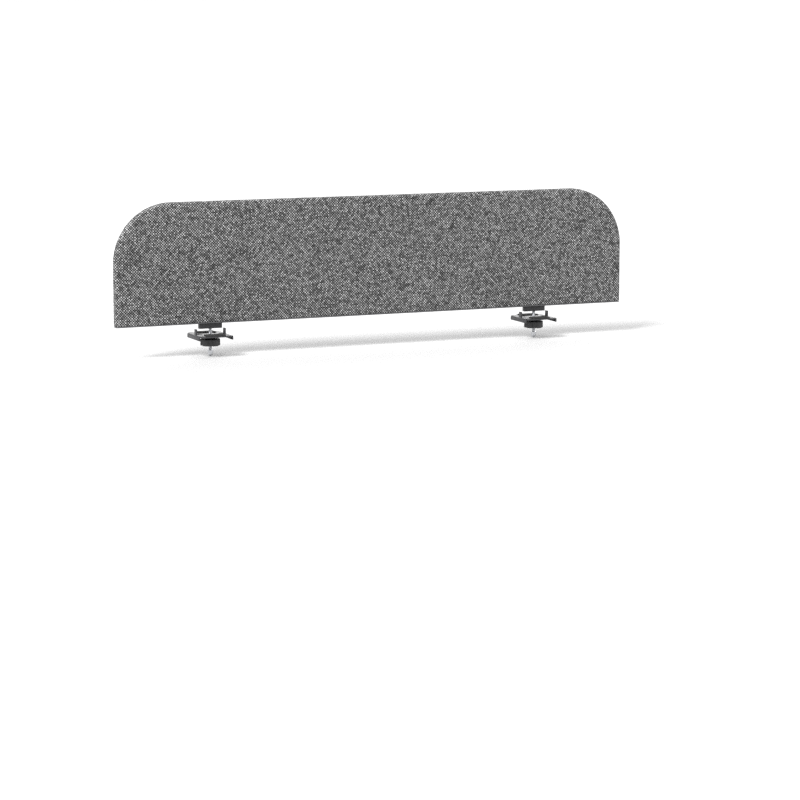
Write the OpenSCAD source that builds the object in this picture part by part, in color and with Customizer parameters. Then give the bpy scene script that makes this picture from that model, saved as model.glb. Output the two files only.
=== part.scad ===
// Desk privacy panel: a cloth-covered pinboard screen that stands on the joint between two desks.
// Two clamps reach down through the gap between the desktops. Each has a fixed stud, a sliding jaw
// and a star knob. Millimetres. +X runs along the desk joint, the front cloth faces -Y and +Z is up.
// The origin is the middle of the seat, level with the top of the desks.

/* [Panel] */
// Length along the desks
panel_length = 1400; // [900:50:1800]
// Height of the top edge above the desks
panel_height = 305; // [260:5:450]
// Thickness over both cloth faces
panel_thickness = 25; // [23:1:32]
// Radius of the two upper corners
corner_radius = 150; // [60:10:200]
// Roundness of the padded edge
edge_radius = 9; // [7:0.5:10]
// Thickness of the cloth
cloth_thickness = 1; // [0.8:0.1:1.4]
// Thickness of the felt that takes the pins
felt_thickness = 3.5; // [2.5:0.5:4]
// Width of the foam strip outside the board
foam_width = 9; // [8:1:14]

/* [Base] */
// Thickness of the soft strip under the rail
gasket_thickness = 0.8; // [0.5:0.1:1.5]
// Thickness of the steel rail
rail_thickness = 2; // [1.5:0.5:3]
// Width of the steel rail
rail_width = 23; // [20:1:23]
// Distance from the end of the panel to the end of the rail
rail_end_gap = 2; // [1:1:6]
// Roundness of the cloth where it turns under the panel
hem_radius = 3.5; // [2.5:0.5:4]

/* [Clamps] */
// Distance from each end of the panel to the clamp
clamp_inset = 250; // [150:10:300]
// Desktop on which the clamps are drawn closed
desktop = 25; // [18:1:30]
// Thickest desktop that the clamps take
desktop_max = 35; // [30:1:40]
// Width of the gap between the two desktops
desk_gap = 14; // [13:1:16]
// Stud diameter
stud_diameter = 8; // [6:1:8]
// Length of the jaw along the desk joint
jaw_length = 90; // [84:2:110]
// Reach of the jaw across both desks
jaw_width = 110; // [90:5:140]
// Thickness of the jaw steel
jaw_thickness = 3; // [2:0.5:4]
// Thickness of the rubber jaw pads
pad_thickness = 3; // [2:0.5:4]
// Knob diameter
knob_diameter = 50; // [40:2:60]
// Number of lobes on the knob
knob_lobes = 5; // [5:1:8]

/* [Hidden] */
$fn = 96;
half_length = panel_length / 2;
half_thickness = panel_thickness / 2;
rail_top = gasket_thickness + rail_thickness;      // the lowest cloth rests on the rail
board_bottom = rail_top + cloth_thickness;         // the hems lie between the rail and the board
straight_top = panel_height - corner_radius;       // where the upright edges end
board_thickness = panel_thickness - 2 * (cloth_thickness + felt_thickness);
board_inset = cloth_thickness + foam_width;        // from the panel's outline in to the board's edge
flat_edge = half_thickness - edge_radius;          // half of the flat between the two rounded edges
seam_width = 0.8;
seam_recess = 0.1;
hem_gap = 4;                                       // bare board between the two hems
rail_corner = 4;

clamp_x = half_length - clamp_inset;
stud_radius = stud_diameter / 2;
running_gap = 0.05;                                // thread play, drawn on plain cylinders
clearance = 0.2;                                   // radial, round screws and the stud
loose_clearance = 0.5;                             // radial, where the jaw and knob pass the stud
key_length = 60;
key_height = 14;
key_side_gap = 0.2;
key_corner = 2;
key_screw_x = 20;                                  // from the stud to each key screw
sleeve_radius = stud_radius + 2;
sleeve_length = 30;
screw_radius = 2;
screw_grip = 28;                                   // length of a screw inside the board
screw_head_radius = 4;
screw_head_height = 2.5;
counterbore_depth = 4;
screw_point = 3;
screw_tip_radius = 0.3;
end_screw_inset = 40;                              // from the end of the panel to the outermost screw
clamp_screw_gap = 90;                              // from a clamp to the next screw beyond it

jaw_top = -desktop - pad_thickness;
jaw_corner = 10;
flange_height = 8;
tab_x = 38;                                        // middle of each guide tab
tab_width = desk_gap - 1;
tab_height = 14;
tab_window = 14;
pad_length = 50;
pad_width = 30;
pad_corner = 4;
pad_edge_gap = 5;
washer_radius = 2 * stud_radius;
washer_thickness = 1.6;
body_gap = 0.3;                                    // between the washer and the turning knob
knob_top = jaw_top - jaw_thickness - washer_thickness - body_gap;
hub_radius = 12;
hub_height = 6;
knob_height = 18;
insert_radius = stud_radius + 2;
insert_length = 16;
scallop_radius = knob_diameter * 0.18;
scallop_distance = knob_diameter * 0.58;
lowest_knob = knob_top - hub_height - knob_height - (desktop_max - desktop);
end_nut_top = lowest_knob - 1;
end_nut_hex = 6.5;                                 // height of the hexagon
end_nut_radius = 7.5;                              // across the corners
end_nut_dome = 5.8;
end_nut_cylinder = 2.5;                            // straight wall under the dome
end_nut_bore = 8;
stud_bottom = end_nut_top - end_nut_bore;
stud_top = board_bottom + sleeve_length;
stud_chamfer = 1;

// ---- plain-shape helpers ----

module rounded_rect(length, width, radius) {
    square([length - 2 * radius, width], center = true);
    square([length, width - 2 * radius], center = true);
    for (x = [-1, 1], y = [-1, 1])
        translate([x * (length / 2 - radius), y * (width / 2 - radius)]) circle(radius);
}

// A quarter disc in the quadrant where x is positive and y is negative.
module quarter_disc(radius) {
    intersection() {
        circle(radius);
        translate([0, -radius]) square(radius);
    }
}

// A child shape at each clamp.
module at_clamps() {
    for (x = [-clamp_x, clamp_x]) translate([x, 0, 0]) children();
}

// The panel's front outline in X and Z, drawn in by an inset, from a bottom height up.
module panel_outline(inset, bottom) {
    corner_x = half_length - corner_radius;
    translate([-half_length + inset, bottom]) square([panel_length - 2 * inset, straight_top - bottom]);
    translate([-corner_x, straight_top]) square([2 * corner_x, corner_radius - inset]);
    for (side = [0, 1]) mirror([side, 0])
        translate([corner_x, straight_top]) mirror([0, 1]) quarter_disc(corner_radius - inset);
}

// The outline stood up as a slab between two depths.
module panel_slab(inset, bottom, y_from, y_to) {
    translate([0, y_to, 0]) rotate([90, 0, 0])
        linear_extrude(y_to - y_from) panel_outline(inset, bottom);
}

// A section carried up one end, round the corner, along the top and down the other end.
// The section's x points outward from the panel's edge and its y is depth.
module edge_sweep(bottom) {
    corner_x = half_length - corner_radius;
    for (side = [0, 1]) mirror([side, 0, 0]) {
        translate([half_length, 0, bottom]) linear_extrude(straight_top - bottom) children();
        translate([corner_x, 0, straight_top]) mirror([0, 1, -1])
            rotate_extrude(angle = 90) translate([corner_radius, 0]) children();
    }
    translate([-corner_x, 0, panel_height]) mirror([1, 0, -1])
        linear_extrude(2 * corner_x) children();
}

// ---- the panel ----

module screw_positions() {
    middle = [for (share = [-0.75, -0.25, 0.25, 0.75]) share * clamp_x];
    outer = [half_length - end_screw_inset, clamp_x + clamp_screw_gap];
    for (x = concat(middle, outer, -outer)) translate([x, 0, 0]) children();
}

module key_screw_positions() {
    at_clamps() for (x = [-key_screw_x, key_screw_x]) translate([x, 0, 0]) children();
}

module core_board() {
    color([0.72, 0.58, 0.42]) difference() {
        panel_slab(board_inset, board_bottom, -board_thickness / 2, board_thickness / 2);
        at_clamps() translate([0, 0, board_bottom - 1]) cylinder(r = sleeve_radius, h = sleeve_length + 1);
        screw_positions() translate([0, 0, board_bottom - 1]) screw_hole(screw_grip + 1);
        key_screw_positions() translate([0, 0, board_bottom - 1]) screw_hole(screw_grip + 1);
    }
}

module screw_hole(depth) {
    cylinder(r = screw_radius, h = depth);
}

module pin_layer() {
    panel_slab(edge_radius, rail_top + hem_radius,
               -half_thickness + cloth_thickness, -board_thickness / 2);
}

module front_pin_layer() {
    color([0.55, 0.55, 0.53]) pin_layer();
}

module rear_pin_layer() {
    color([0.55, 0.55, 0.53]) mirror([0, 1, 0]) pin_layer();
}

module foam_section() {
    inner_radius = edge_radius - cloth_thickness;
    translate([-board_inset, -board_thickness / 2])
        square([board_inset - edge_radius, board_thickness]);
    for (side = [0, 1]) mirror([0, side])
        translate([-edge_radius, -flat_edge]) quarter_disc(inner_radius);
    translate([-edge_radius, -flat_edge]) square([inner_radius, 2 * flat_edge]);
}

module edge_foam() {
    color([0.25, 0.25, 0.27]) edge_sweep(board_bottom) foam_section();
}

module rim_section() {
    difference() {
        translate([-edge_radius, -flat_edge]) quarter_disc(edge_radius);
        translate([-edge_radius, -flat_edge]) circle(edge_radius - cloth_thickness);
    }
    translate([-cloth_thickness, -flat_edge]) square([cloth_thickness, flat_edge - seam_width / 2]);
}

module corner_flap_section() {
    translate([-edge_radius, -flat_edge]) quarter_disc(edge_radius);
    translate([-edge_radius, -flat_edge]) square([edge_radius, flat_edge - seam_width / 2]);
}

module hem_section() {
    fold = half_thickness - hem_radius;
    translate([-fold, rail_top + hem_radius]) difference() {
        mirror([1, 0]) quarter_disc(hem_radius);
        circle(hem_radius - cloth_thickness);
    }
    translate([-fold, rail_top]) square([fold - hem_gap / 2, cloth_thickness]);
}

module cover() {
    flat_length = panel_length - 2 * edge_radius;
    union() {
        panel_slab(edge_radius, rail_top + hem_radius, -half_thickness, -half_thickness + cloth_thickness);
        edge_sweep(board_bottom) rim_section();
        for (side = [0, 1]) mirror([side, 0, 0]) translate([half_length, 0, rail_top])
            linear_extrude(cloth_thickness) corner_flap_section();
        translate([-flat_length / 2, 0, 0]) rotate([90, 0, 90])
            linear_extrude(flat_length) hem_section();
    }
}

module cut_cover() {
    difference() {
        cover();
        at_clamps() translate([0, 0, rail_top - 1]) cylinder(r = sleeve_radius, h = cloth_thickness + 2);
        screw_positions() translate([0, 0, rail_top - 1]) screw_hole(cloth_thickness + 2);
        key_screw_positions() translate([0, 0, rail_top - 1]) screw_hole(cloth_thickness + 2);
    }
}

module front_cover() {
    color([0.36, 0.36, 0.36]) cut_cover();
}

module rear_cover() {
    color([0.36, 0.36, 0.36]) mirror([0, 1, 0]) cut_cover();
}

module edge_seam() {
    color([0.2, 0.2, 0.2]) edge_sweep(rail_top)
        translate([-cloth_thickness, -seam_width / 2]) square([cloth_thickness - seam_recess, seam_width]);
}

// ---- the base ----

module base_rail() {
    color([0.24, 0.24, 0.25]) difference() {
        translate([0, 0, gasket_thickness]) linear_extrude(rail_thickness)
            rounded_rect(panel_length - 2 * rail_end_gap, rail_width, rail_corner);
        at_clamps() cylinder(r = stud_radius + clearance, h = rail_top + 1);
        screw_positions() screw_hole(rail_top + 1);
        key_screw_positions() screw_hole(rail_top + 1);
    }
}

module rail_gasket() {
    color([0.1, 0.1, 0.1]) difference() {
        linear_extrude(gasket_thickness)
            rounded_rect(panel_length - 2 * rail_end_gap, rail_width - 1, rail_corner);
        at_clamps() translate([-key_length / 2 - clearance, -desk_gap / 2, -1])
            cube([key_length + 2 * clearance, desk_gap, gasket_thickness + 2]);
        screw_positions() translate([0, 0, -1])
            cylinder(r = screw_head_radius + clearance, h = gasket_thickness + 2);
    }
}

// A pan-head wood screw pointing up, with the underside of its head at z = 0.
module wood_screw(length) {
    translate([0, 0, -screw_head_height]) cylinder(r = screw_head_radius, h = screw_head_height);
    cylinder(r = screw_radius, h = length - screw_point);
    translate([0, 0, length - screw_point])
        cylinder(r1 = screw_radius, r2 = screw_tip_radius, h = screw_point);
}

module rail_screws() {
    color([0.7, 0.7, 0.72]) screw_positions()
        translate([0, 0, gasket_thickness]) wood_screw(board_bottom - gasket_thickness + screw_grip);
}

// ---- the fixed half of the clamps ----

module stud_sleeves() {
    color([0.75, 0.7, 0.5]) at_clamps() translate([0, 0, rail_top]) difference() {
        cylinder(r = sleeve_radius, h = cloth_thickness + sleeve_length);
        translate([0, 0, -1]) cylinder(r = stud_radius, h = cloth_thickness + sleeve_length + 2);
    }
}

module stud() {
    color([0.66, 0.67, 0.69]) {
        translate([0, 0, stud_bottom + stud_chamfer])
            cylinder(r = stud_radius, h = stud_top - stud_bottom - stud_chamfer);
        translate([0, 0, stud_bottom])
            cylinder(r1 = stud_radius - stud_chamfer, r2 = stud_radius, h = stud_chamfer);
    }
}

module stud_left() {
    translate([-clamp_x, 0, 0]) stud();
}

module stud_right() {
    translate([clamp_x, 0, 0]) stud();
}

// A nylon block that fits between the two desktops and keeps the panel upright.
module gap_key() {
    top = gasket_thickness;
    head_seat = top - key_height + counterbore_depth;
    color([0.14, 0.14, 0.15]) difference() {
        translate([0, 0, top - key_height]) linear_extrude(key_height)
            rounded_rect(key_length, desk_gap - 2 * key_side_gap, key_corner);
        translate([0, 0, top - key_height - 1]) cylinder(r = stud_radius + clearance, h = key_height + 2);
        for (x = [-key_screw_x, key_screw_x]) translate([x, 0, top - key_height - 1]) {
            cylinder(r = screw_radius + clearance, h = key_height + 2);
            cylinder(r = screw_head_radius + clearance, h = head_seat - top + key_height + 1);
        }
    }
}

module gap_key_left() {
    translate([-clamp_x, 0, 0]) gap_key();
}

module gap_key_right() {
    translate([clamp_x, 0, 0]) gap_key();
}

module key_screws() {
    head_seat = gasket_thickness - key_height + counterbore_depth;
    color([0.7, 0.7, 0.72]) key_screw_positions()
        translate([0, 0, head_seat]) wood_screw(board_bottom - head_seat + screw_grip);
}

// A domed nut that keeps the knob on the stud.
module end_nut() {
    difference() {
        union() {
            translate([0, 0, -end_nut_hex]) cylinder(r = end_nut_radius, h = end_nut_hex, $fn = 6);
            translate([0, 0, -end_nut_hex - end_nut_cylinder])
                cylinder(r = end_nut_dome, h = end_nut_cylinder);
            intersection() {
                translate([0, 0, -end_nut_hex - end_nut_cylinder]) sphere(end_nut_dome);
                translate([0, 0, -end_nut_hex - end_nut_cylinder - end_nut_dome])
                    cylinder(r = end_nut_dome + 1, h = end_nut_dome);
            }
        }
        translate([0, 0, -end_nut_bore]) cylinder(r = stud_radius, h = end_nut_bore + 1);
    }
}

module end_nuts() {
    color([0.66, 0.67, 0.69]) at_clamps() translate([0, 0, end_nut_top]) end_nut();
}

// ---- the moving half of the clamps ----

// A pressed steel bridge with turned-down sides and two guide tabs that stand in the gap.
module jaw() {
    side = jaw_length / 2;
    color([0.15, 0.15, 0.16]) difference() {
        union() {
            translate([0, 0, jaw_top - jaw_thickness]) linear_extrude(jaw_thickness)
                rounded_rect(jaw_length, jaw_width, jaw_corner);
            for (x = [-side, side - jaw_thickness])
                translate([x, -jaw_width / 2 + jaw_corner, jaw_top - jaw_thickness - flange_height])
                    cube([jaw_thickness, jaw_width - 2 * jaw_corner, jaw_thickness + flange_height]);
            for (x = [-tab_x, tab_x])
                translate([x - jaw_thickness / 2, -tab_width / 2, jaw_top - jaw_thickness])
                    cube([jaw_thickness, tab_width, jaw_thickness + tab_height]);
        }
        translate([0, 0, jaw_top - jaw_thickness - 1])
            cylinder(r = stud_radius + loose_clearance, h = jaw_thickness + 2);
        for (end = [0, 1]) mirror([end, 0, 0])
            translate([tab_x - jaw_thickness / 2 - tab_window, -tab_width / 2, jaw_top - jaw_thickness - 1])
                cube([tab_window, tab_width, jaw_thickness + 2]);
    }
}

module jaw_left() {
    translate([-clamp_x, 0, 0]) jaw();
}

module jaw_right() {
    translate([clamp_x, 0, 0]) jaw();
}

// A ribbed rubber pad on the jaw; end is -1 for the front desk and 1 for the rear desk.
module jaw_pad(end) {
    color([0.08, 0.08, 0.08])
        translate([0, end * (jaw_width / 2 - pad_edge_gap - pad_width / 2), jaw_top])
            linear_extrude(pad_thickness) rounded_rect(pad_length, pad_width, pad_corner);
}

module jaw_pad_front_left() {
    translate([-clamp_x, 0, 0]) jaw_pad(-1);
}

module jaw_pad_rear_left() {
    translate([-clamp_x, 0, 0]) jaw_pad(1);
}

module jaw_pad_front_right() {
    translate([clamp_x, 0, 0]) jaw_pad(-1);
}

module jaw_pad_rear_right() {
    translate([clamp_x, 0, 0]) jaw_pad(1);
}

module jaw_washer() {
    color([0.7, 0.7, 0.72]) translate([0, 0, jaw_top - jaw_thickness - washer_thickness]) difference() {
        cylinder(r = washer_radius, h = washer_thickness);
        translate([0, 0, -1]) cylinder(r = stud_radius + clearance, h = washer_thickness + 2);
    }
}

module jaw_washer_left() {
    translate([-clamp_x, 0, 0]) jaw_washer();
}

module jaw_washer_right() {
    translate([clamp_x, 0, 0]) jaw_washer();
}

module knob() {
    bottom = knob_top - hub_height - knob_height;
    color([0.1, 0.1, 0.1]) difference() {
        union() {
            translate([0, 0, bottom]) cylinder(d = knob_diameter, h = knob_height);
            translate([0, 0, bottom + knob_height - 1]) cylinder(r = hub_radius, h = hub_height + 1);
        }
        for (lobe = [0:knob_lobes - 1]) rotate(360 / knob_lobes * (lobe + 0.5))
            translate([scallop_distance, 0, bottom - 1]) cylinder(r = scallop_radius, h = knob_height + 2);
        translate([0, 0, knob_top - insert_length]) cylinder(r = insert_radius, h = insert_length + 1);
        translate([0, 0, bottom - 1]) cylinder(r = stud_radius + loose_clearance, h = knob_height);
    }
}

module knob_left() {
    translate([-clamp_x, 0, 0]) knob();
}

module knob_right() {
    translate([clamp_x, 0, 0]) knob();
}

// The threaded brass bush in the knob, which runs on the stud.
module knob_insert() {
    color([0.8, 0.68, 0.38]) translate([0, 0, knob_top - insert_length]) difference() {
        cylinder(r = insert_radius, h = insert_length);
        translate([0, 0, -1]) cylinder(r = stud_radius + running_gap, h = insert_length + 2);
    }
}

module knob_insert_left() {
    translate([-clamp_x, 0, 0]) knob_insert();
}

module knob_insert_right() {
    translate([clamp_x, 0, 0]) knob_insert();
}

core_board();
front_pin_layer();
rear_pin_layer();
edge_foam();
front_cover();
rear_cover();
edge_seam();
base_rail();
rail_gasket();
rail_screws();
stud_sleeves();
stud_left();
stud_right();
gap_key_left();
gap_key_right();
key_screws();
end_nuts();
jaw_left();
jaw_right();
jaw_pad_front_left();
jaw_pad_rear_left();
jaw_pad_front_right();
jaw_pad_rear_right();
jaw_washer_left();
jaw_washer_right();
knob_left();
knob_right();
knob_insert_left();
knob_insert_right();
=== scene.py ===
"""Desk privacy panel: a cloth-covered divider clamped into the gap between two desks."""

import math

import bmesh
import bpy
import numpy as np
from mathutils import Matrix, Vector, noise


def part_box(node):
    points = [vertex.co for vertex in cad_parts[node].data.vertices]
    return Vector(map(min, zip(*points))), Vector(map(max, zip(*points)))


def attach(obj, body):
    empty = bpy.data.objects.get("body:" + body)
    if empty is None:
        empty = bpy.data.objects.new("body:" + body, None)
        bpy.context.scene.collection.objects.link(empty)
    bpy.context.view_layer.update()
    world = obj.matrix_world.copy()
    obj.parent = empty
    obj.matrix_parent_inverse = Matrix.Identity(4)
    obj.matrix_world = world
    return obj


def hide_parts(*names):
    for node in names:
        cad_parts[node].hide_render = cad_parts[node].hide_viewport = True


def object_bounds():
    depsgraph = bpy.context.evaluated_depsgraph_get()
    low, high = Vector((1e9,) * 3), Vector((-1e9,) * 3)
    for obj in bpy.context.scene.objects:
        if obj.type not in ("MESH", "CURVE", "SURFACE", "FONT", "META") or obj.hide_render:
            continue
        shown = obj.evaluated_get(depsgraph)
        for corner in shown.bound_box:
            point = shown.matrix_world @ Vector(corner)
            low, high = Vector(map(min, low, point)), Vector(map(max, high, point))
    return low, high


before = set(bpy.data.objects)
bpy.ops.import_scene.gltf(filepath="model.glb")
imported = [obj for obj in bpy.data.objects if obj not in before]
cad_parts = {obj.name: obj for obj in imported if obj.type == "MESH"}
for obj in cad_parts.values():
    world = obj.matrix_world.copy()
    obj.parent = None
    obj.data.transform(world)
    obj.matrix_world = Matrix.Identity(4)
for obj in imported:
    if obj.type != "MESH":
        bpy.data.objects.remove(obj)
cad_low, cad_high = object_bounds()

MM = 0.001


def new_object(name, data):
    """An object in the scene that shows the data."""
    thing = bpy.data.objects.new(name, data)
    bpy.context.scene.collection.objects.link(thing)
    return thing


# -------- camera

CAMERA_YAW = 0.4117
CAMERA_PITCH = 0.1515

camera = new_object("camera", bpy.data.cameras.new("camera"))
camera.data.sensor_width = 36.0
camera.data.lens = 129.2
camera.data.clip_end = 100.0
camera.location = (-2.864, -6.714, 0.892)
camera.rotation_euler = (math.pi / 2 - CAMERA_PITCH, 0, -CAMERA_YAW)
bpy.context.scene.camera = camera

# -------- sizes

# From the CAD solids.
cover_low, cover_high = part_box("front_cover")
HALF_LENGTH = cover_high.x
PANEL_TOP = cover_high.z
PANEL_BOTTOM = cover_low.z
HALF_THICKNESS = -cover_low.y
stud_low, stud_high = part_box("stud_right")
CLAMP_X = (stud_low.x + stud_high.x) / 2
CLAMPS = {"left": -CLAMP_X, "right": CLAMP_X}

# The same as in the CAD source.
CORNER_RADIUS = 150 * MM
EDGE_RADIUS = 9 * MM
HEM_RADIUS = 3.5 * MM
CLOTH_THICKNESS = 1 * MM
HALF_SEAM = 0.4 * MM
HALF_BOARD = 8 * MM
HEAD_RADIUS = 4 * MM
HEAD_HEIGHT = 2.5 * MM
SCREW_RADIUS = 2 * MM

STRAIGHT_TOP = PANEL_TOP - CORNER_RADIUS
FACE_BOTTOM = PANEL_BOTTOM + HEM_RADIUS
FLAT_EDGE = HALF_THICKNESS - EDGE_RADIUS

# -------- shader helpers

MIX_INPUTS = (0, 6, 7)  # a Mix node's factor and its two colours
MIX_OUTPUT = 2
BEVEL_SAMPLES = 8
WEAR_GAIN = 8.0
WEAR_PATCHES = (-0.6, 1.7)
BLACK = (0.0, 0.0, 0.0)


def toned(colour, strength):
    return tuple(strength * c for c in colour)


class Shader:
    """A material and the few calls that wire its nodes."""

    def __init__(self, name):
        self.material = bpy.data.materials.new(name)
        self.material.use_nodes = True
        self.nodes = self.material.node_tree.nodes
        self.links = self.material.node_tree.links
        self.surface = self.nodes["Principled BSDF"]

    def put(self, socket, value):
        """Sets a socket to a number or colour, or links it to another node's output."""
        if isinstance(value, bpy.types.NodeSocket):
            self.links.new(value, socket)
        elif isinstance(value, tuple) and socket.type == "RGBA":
            socket.default_value = (*value, 1)
        else:
            socket.default_value = value

    def make(self, kind, settings=(), **inputs):
        node = self.nodes.new("ShaderNode" + kind)
        for key, value in dict(settings).items():
            setattr(node, key, value)
        for key, value in inputs.items():
            self.put(node.inputs[key.replace("_", " ")], value)
        return node

    def math(self, operation, a, b=0.0, c=0.0, clamp=False):
        node = self.make("Math", {"operation": operation, "use_clamp": clamp})
        for socket, value in zip(node.inputs, (a, b, c)):
            self.put(socket, value)
        return node.outputs[0]

    def plus(self, a, b):
        return self.math("ADD", a, b)

    def times(self, a, b):
        return self.math("MULTIPLY", a, b)

    def mix(self, share, first, second, clamp=True):
        """A colour between first and second, or past second where the share may exceed 1."""
        node = self.make("Mix", {"data_type": "RGBA", "clamp_factor": clamp})
        for index, value in zip(MIX_INPUTS, (share, first, second)):
            self.put(node.inputs[index], value)
        return node.outputs[MIX_OUTPUT]

    def scaled(self, strength, colour):
        """A colour made darker or brighter."""
        return self.mix(strength, BLACK, colour, clamp=False)

    def vector(self, x, y, z=0.0):
        return self.make("CombineXYZ", X=x, Y=y, Z=z).outputs[0]

    def place(self):
        """The point's place on its object, in metres."""
        return self.make("TexCoord").outputs["Object"]

    def noise(self, vector, scale, detail=2.0, roughness=0.5):
        node = self.make("TexNoise", Vector=vector, Scale=scale, Detail=detail, Roughness=roughness)
        return node.outputs["Fac"]

    def dice(self, vector):
        """A random number from 0 to 1 for each whole-number place."""
        node = self.make("TexWhiteNoise", {"noise_dimensions": "3D"}, Vector=vector)
        return node.outputs["Value"]

    def spread(self, value, low, high):
        """A number from 0 to 1 carried to the range from low to high."""
        return self.math("MULTIPLY_ADD", value, high - low, low)

    def wear(self, radius, patches):
        """Rubbed edges: 0 on flats and up to 1 along hard edges, broken up by a noise."""
        bevel = self.make("Bevel", {"samples": BEVEL_SAMPLES}, Radius=radius)
        geometry = self.make("NewGeometry")
        match = self.make("VectorMath", {"operation": "DOT_PRODUCT"})
        self.put(match.inputs[0], bevel.outputs["Normal"])
        self.put(match.inputs[1], geometry.outputs["Normal"])
        turn = self.math("MULTIPLY_ADD", match.outputs["Value"], -WEAR_GAIN, WEAR_GAIN)
        return self.math("MULTIPLY", turn, self.spread(patches, *WEAR_PATCHES), clamp=True)

    def bump(self, height, distance, strength):
        node = self.make("Bump", Height=height, Distance=distance, Strength=strength)
        self.put(self.surface.inputs["Normal"], node.outputs[0])

    def finish(self, **inputs):
        for key, value in inputs.items():
            self.put(self.surface.inputs[key.replace("_", " ")], value)
        return self.material


# -------- materials

WEAVE_PITCH = 3.4 * MM
STRANDS = 2  # side by side in each yarn of the weave
LIGHT_YARN = (0.49, 0.49, 0.49)
DARK_YARN = (0.016, 0.016, 0.016)
FLOAT_MARL = 0.65  # how far the shade of a float, a strand or a fibre strays from its yarn's
STRAND_MARL = 0.35
FIBRE_MARL = 0.4
YARN_SWAY = 0.2  # in pitches
YARN_FUZZ = 0.1
SWAY_SCALE = 120
FUZZ_SCALE = 1500
FIBRE_SCALE = 700
FIBRE_STRETCH = 2.4
FIBRE_LEAN = 6.0
FIBRE_HEIGHT = 0.3
TWISTS_PER_FLOAT = 4.0
TWIST_FLOOR = 0.6
# The darkest share of the yarns' colour where they dip: painted shade.
GAP_PAINTED_SHADE = 0.15
WEAVE_BUMP = 0.6 * MM
WORN_METAL = (0.32, 0.32, 0.33)
METAL_WEAR = 0.35
PLASTIC_WEAR = 0.5
PLASTIC_POLISH = 0.12


def woven_cloth(name):
    """A hopsack weave: pairs of light marled yarns run up the panel over pairs of dark ones."""
    # The third number of a vector only tells one noise from another.
    s = Shader(name)
    cloth = s.make("Attribute", {"attribute_name": "cloth"}).outputs["Vector"]
    split = s.make("SeparateXYZ", Vector=cloth)
    along, up = split.outputs["X"], split.outputs["Y"]
    turned_over = s.vector(up, along, 7.0)

    def pair_count(distance, place):
        """How many pairs lie before a point; the yarns sway a little and have fuzzy edges."""
        sway, fuzz = s.noise(place, SWAY_SCALE, 1), s.noise(place, FUZZ_SCALE, 2)
        count = s.plus(s.math("DIVIDE", distance, WEAVE_PITCH),
                       s.spread(sway, -YARN_SWAY, YARN_SWAY))
        return s.plus(count, s.spread(fuzz, -YARN_FUZZ, YARN_FUZZ))

    across, above = pair_count(along, cloth), pair_count(up, turned_over)
    column, row = s.math("FLOOR", across), s.math("FLOOR", above)
    warp_on_top = s.math("FLOORED_MODULO", s.plus(column, row), 2.0)

    def on_top(warp, weft):
        return s.plus(s.times(warp, warp_on_top),
                      s.times(weft, s.math("SUBTRACT", 1.0, warp_on_top)))

    def swell(fraction, sharpness):
        """The round of a yarn, from 0 at its edges to 1 at its middle."""
        offset = s.math("ABSOLUTE", s.math("MULTIPLY_ADD", fraction, 2.0, -1.0))
        return s.math("SUBTRACT", 1.0, s.math("POWER", offset, sharpness))

    def strand_height(cross, run):
        """The height of a strand that lies on top: round, twisted, and dipping at both ends."""
        in_strand = s.math("FRACT", s.times(cross, STRANDS))
        twist = s.math("FRACT", s.math("MULTIPLY_ADD", run, TWISTS_PER_FLOAT, in_strand))
        body = s.times(swell(in_strand, 2.2), swell(s.math("FRACT", run), 3.0))
        return s.times(body, s.spread(swell(twist, 2.0), TWIST_FLOOR, 1.0))

    def lean(run, cross):
        """Slanting fibres: a place along a yarn, sheared by the place across it."""
        return s.math("MULTIPLY_ADD", run, FIBRE_STRETCH, s.times(cross, FIBRE_LEAN))

    height = on_top(strand_height(across, above), strand_height(above, across))

    # The marl: each float and each strand has its own shade, and fibres run along the yarn.
    float_shade = s.dice(s.vector(column, row, 5.0))
    fibres_up = s.noise(s.vector(lean(up, along), up, 0.0), FIBRE_SCALE, 3, 0.6)
    fibres_along = s.noise(s.vector(along, lean(along, up), 9.0), FIBRE_SCALE, 3, 0.6)

    def yarn(colour, cross, float_number, fibres):
        """The colour of a yarn; cross counts the yarns beside it, float_number its floats."""
        strand = s.math("FLOOR", s.times(cross, STRANDS))
        strand_shade = s.dice(s.vector(strand, float_number, 3.0))
        strength = s.times(s.spread(float_shade, 1 - FLOAT_MARL, 1 + FLOAT_MARL),
                           s.spread(strand_shade, 1 - STRAND_MARL, 1 + STRAND_MARL))
        fibre_shade = s.spread(fibres, 1 - FIBRE_MARL, 1 + FIBRE_MARL)
        return s.scaled(s.times(strength, fibre_shade), colour)

    colour = s.mix(warp_on_top, yarn(DARK_YARN, above, column, fibres_along),
                   yarn(LIGHT_YARN, across, row, fibres_up))
    fibres = on_top(fibres_up, fibres_along)
    s.bump(s.plus(height, s.times(fibres, FIBRE_HEIGHT)), WEAVE_BUMP, 0.9)
    # The colour darkens as the yarns' height falls, at their edges, their dipping ends and the
    # grooves of their twist: painted shade between and within the yarns.
    return s.finish(Base_Color=s.scaled(s.spread(height, GAP_PAINTED_SHADE, 1.0), colour),
                    Roughness=0.95, Specular_IOR_Level=0.1, Sheen_Weight=0.05,
                    Sheen_Roughness=0.5)


def spun_thread(name, colour):
    """A twisted sewing thread or cord."""
    s = Shader(name)
    twist = s.noise(s.place(), 1600, 1)
    shade = s.mix(s.spread(twist, 0.2, 0.9), toned(colour, 0.35), toned(colour, 1.5))
    s.bump(twist, 0.15 * MM, 0.6)
    return s.finish(Base_Color=shade, Roughness=0.8, Sheen_Weight=0.15)


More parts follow.
